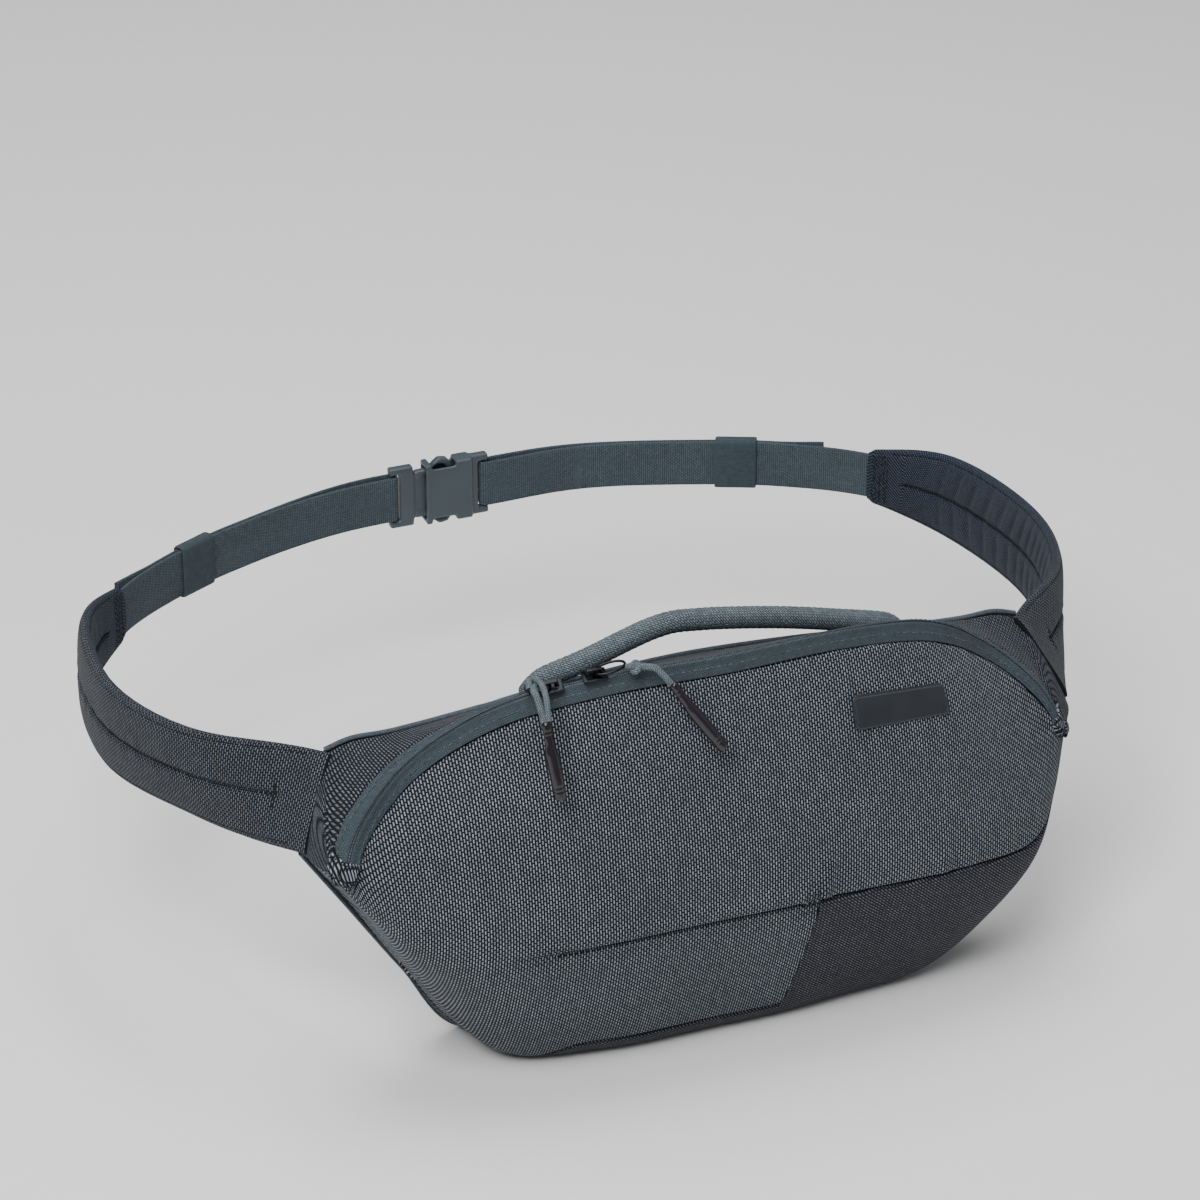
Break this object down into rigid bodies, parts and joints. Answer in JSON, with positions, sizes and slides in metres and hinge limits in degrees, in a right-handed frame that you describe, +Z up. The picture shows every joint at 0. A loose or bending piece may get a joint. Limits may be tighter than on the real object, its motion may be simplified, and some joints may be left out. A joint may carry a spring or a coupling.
{
  "type": "hip pack",
  "caption": "Zipped hip pack with a padded back, hip wings, a rope grab handle and a webbing waist belt closed by a side-release buckle.",
  "frame": {"origin": "middle of the flat base, on the surface that the pack stands on", "axes": "+X to the wearer's-right side as seen from the front, +Y from the front panel to the belt, +Z up"},
  "size_m": [0.4812, 0.3836, 0.2071],
  "materials": {
    "panel_cloth": "matte",
    "gusset_cloth": "matte",
    "mesh": "matte",
    "board": "satin",
    "lining": "matte",
    "foam": "matte",
    "zip_tape": "matte",
    "zip_coil": "satin",
    "webbing": "matte",
    "elastic": "matte",
    "buckle_plastic": "satin",
    "slider_metal": "satin",
    "braided_cord": "matte",
    "sheath": "satin",
    "badge": "matte"
  },
  "bodies": {
    "bag": {"front_panel": "panel_cloth", "base_panel": "gusset_cloth", "gusset_panel": "gusset_cloth", "inner_lining": "lining", "back_panel": "mesh", "back_board": "board", "zip_tape_front": "zip_tape", "zip_tape_rear": "zip_tape", "zip_coil": "zip_coil", "zip_end_patch_left": "gusset_cloth", "zip_end_patch_right": "gusset_cloth", "blank_badge": "badge", "wing_root_foam_left": "foam", "wing_root_outer_left": "panel_cloth", "wing_root_inner_left": "mesh", "wing_root_foam_right": "foam", "wing_root_outer_right": "panel_cloth", "wing_root_inner_right": "mesh"},
    "handle": {"grab_handle": "braided_cord"},
    "wing_left": {"wing_foam_left": "foam", "wing_outer_left": "panel_cloth", "wing_inner_left": "mesh"},
    "strap_left": {"webbing_left": "webbing", "buckle_male_base": "buckle_plastic", "buckle_arm_upper": "buckle_plastic", "buckle_arm_lower": "buckle_plastic"},
    "keeper_left": {"keeper_left": "elastic"},
    "slider_left": {"zip_slider_left": "slider_metal"},
    "bail_left": {"pull_bail_left": "slider_metal"},
    "pull_left": {"pull_cord_left": "braided_cord", "pull_sheath_left": "sheath"},
    "wing_right": {"wing_foam_right": "foam", "wing_outer_right": "panel_cloth", "wing_inner_right": "mesh"},
    "strap_right": {"webbing_right": "webbing", "buckle_female": "buckle_plastic"},
    "keeper_right": {"keeper_right": "elastic"},
    "slider_right": {"zip_slider_right": "slider_metal"},
    "bail_right": {"pull_bail_right": "slider_metal"},
    "pull_right": {"pull_cord_right": "braided_cord", "pull_sheath_right": "sheath"}
  },
  "joints": [
    {"name": "wing_swing_left", "type": "hinge", "parent": "bag", "child": "wing_left", "pos_m": [-0.2164, 0.0657, 0.1327], "axis": [0, 0, 1], "range_deg": [0, 50], "deforming": ["buckle_arm_upper", "buckle_arm_lower"]},
    {"name": "strap_flex_left", "type": "hinge", "parent": "wing_left", "child": "strap_left", "pos_m": [-0.2, 0.246, 0.121], "axis": [0, 0, 1], "range_deg": [-50, 0], "deforming": ["buckle_arm_upper", "buckle_arm_lower"]},
    {"name": "wing_swing_right", "type": "hinge", "parent": "bag", "child": "wing_right", "pos_m": [0.2164, 0.0657, 0.1327], "axis": [0, 0, 1], "range_deg": [-50, 0], "deforming": ["buckle_arm_upper", "buckle_arm_lower"]},
    {"name": "strap_flex_right", "type": "hinge", "parent": "wing_right", "child": "strap_right", "pos_m": [0.2, 0.246, 0.121], "axis": [0, 0, 1], "range_deg": [0, 50]},
    {"name": "keeper_slide_left", "type": "slide", "parent": "strap_left", "child": "keeper_left", "axis": [0.8679, 0.496, -0.027], "range_m": [-0.006, 0.01]},
    {"name": "keeper_slide_right", "type": "slide", "parent": "strap_right", "child": "keeper_right", "axis": [-0.8941, 0.4471, -0.025], "range_m": [-0.006, 0.01]},
    {"name": "zip_slide_left", "type": "slide", "parent": "bag", "child": "slider_left", "axis": [-0.9674, 0.1831, -0.1751], "range_m": [0, 0.02]},
    {"name": "zip_slide_right", "type": "slide", "parent": "bag", "child": "slider_right", "axis": [0.9985, -0.02, 0.05], "range_m": [0, 0.08]},
    {"name": "bail_swing_left", "type": "hinge", "parent": "slider_left", "child": "bail_left", "pos_m": [-0.08155, -0.02805, 0.2], "axis": [0.1081, 0.9235, 0.3682], "range_deg": [0, 90]},
    {"name": "bail_swing_right", "type": "hinge", "parent": "slider_right", "child": "bail_right", "pos_m": [-0.0618, -0.0304, 0.2031], "axis": [0.118, 0.9787, 0.168], "range_deg": [-90, 0]},
    {"name": "pull_swing_left", "type": "hinge", "parent": "bail_left", "child": "pull_left", "pos_m": [-0.0905, -0.0315, 0.2025], "axis": [1, 0, 0], "range_deg": [-60, 0]},
    {"name": "pull_swing_right", "type": "hinge", "parent": "bail_right", "child": "pull_right", "pos_m": [-0.045, -0.0355, 0.205], "axis": [1, 0, 0], "range_deg": [-60, 0]},
    {"name": "handle_swing", "type": "hinge", "parent": "bag", "child": "handle", "pos_m": [-0.066, 0.012, 0.182], "axis": [0.9992, 0.0176, -0.0364], "range_deg": [-45, 0]}
  ],
  "couplings": [
    {"joint": "strap_flex_left", "follows": "wing_swing_left", "ratio": -1},
    {"joint": "strap_flex_right", "follows": "wing_swing_right", "ratio": -1}
  ]
}
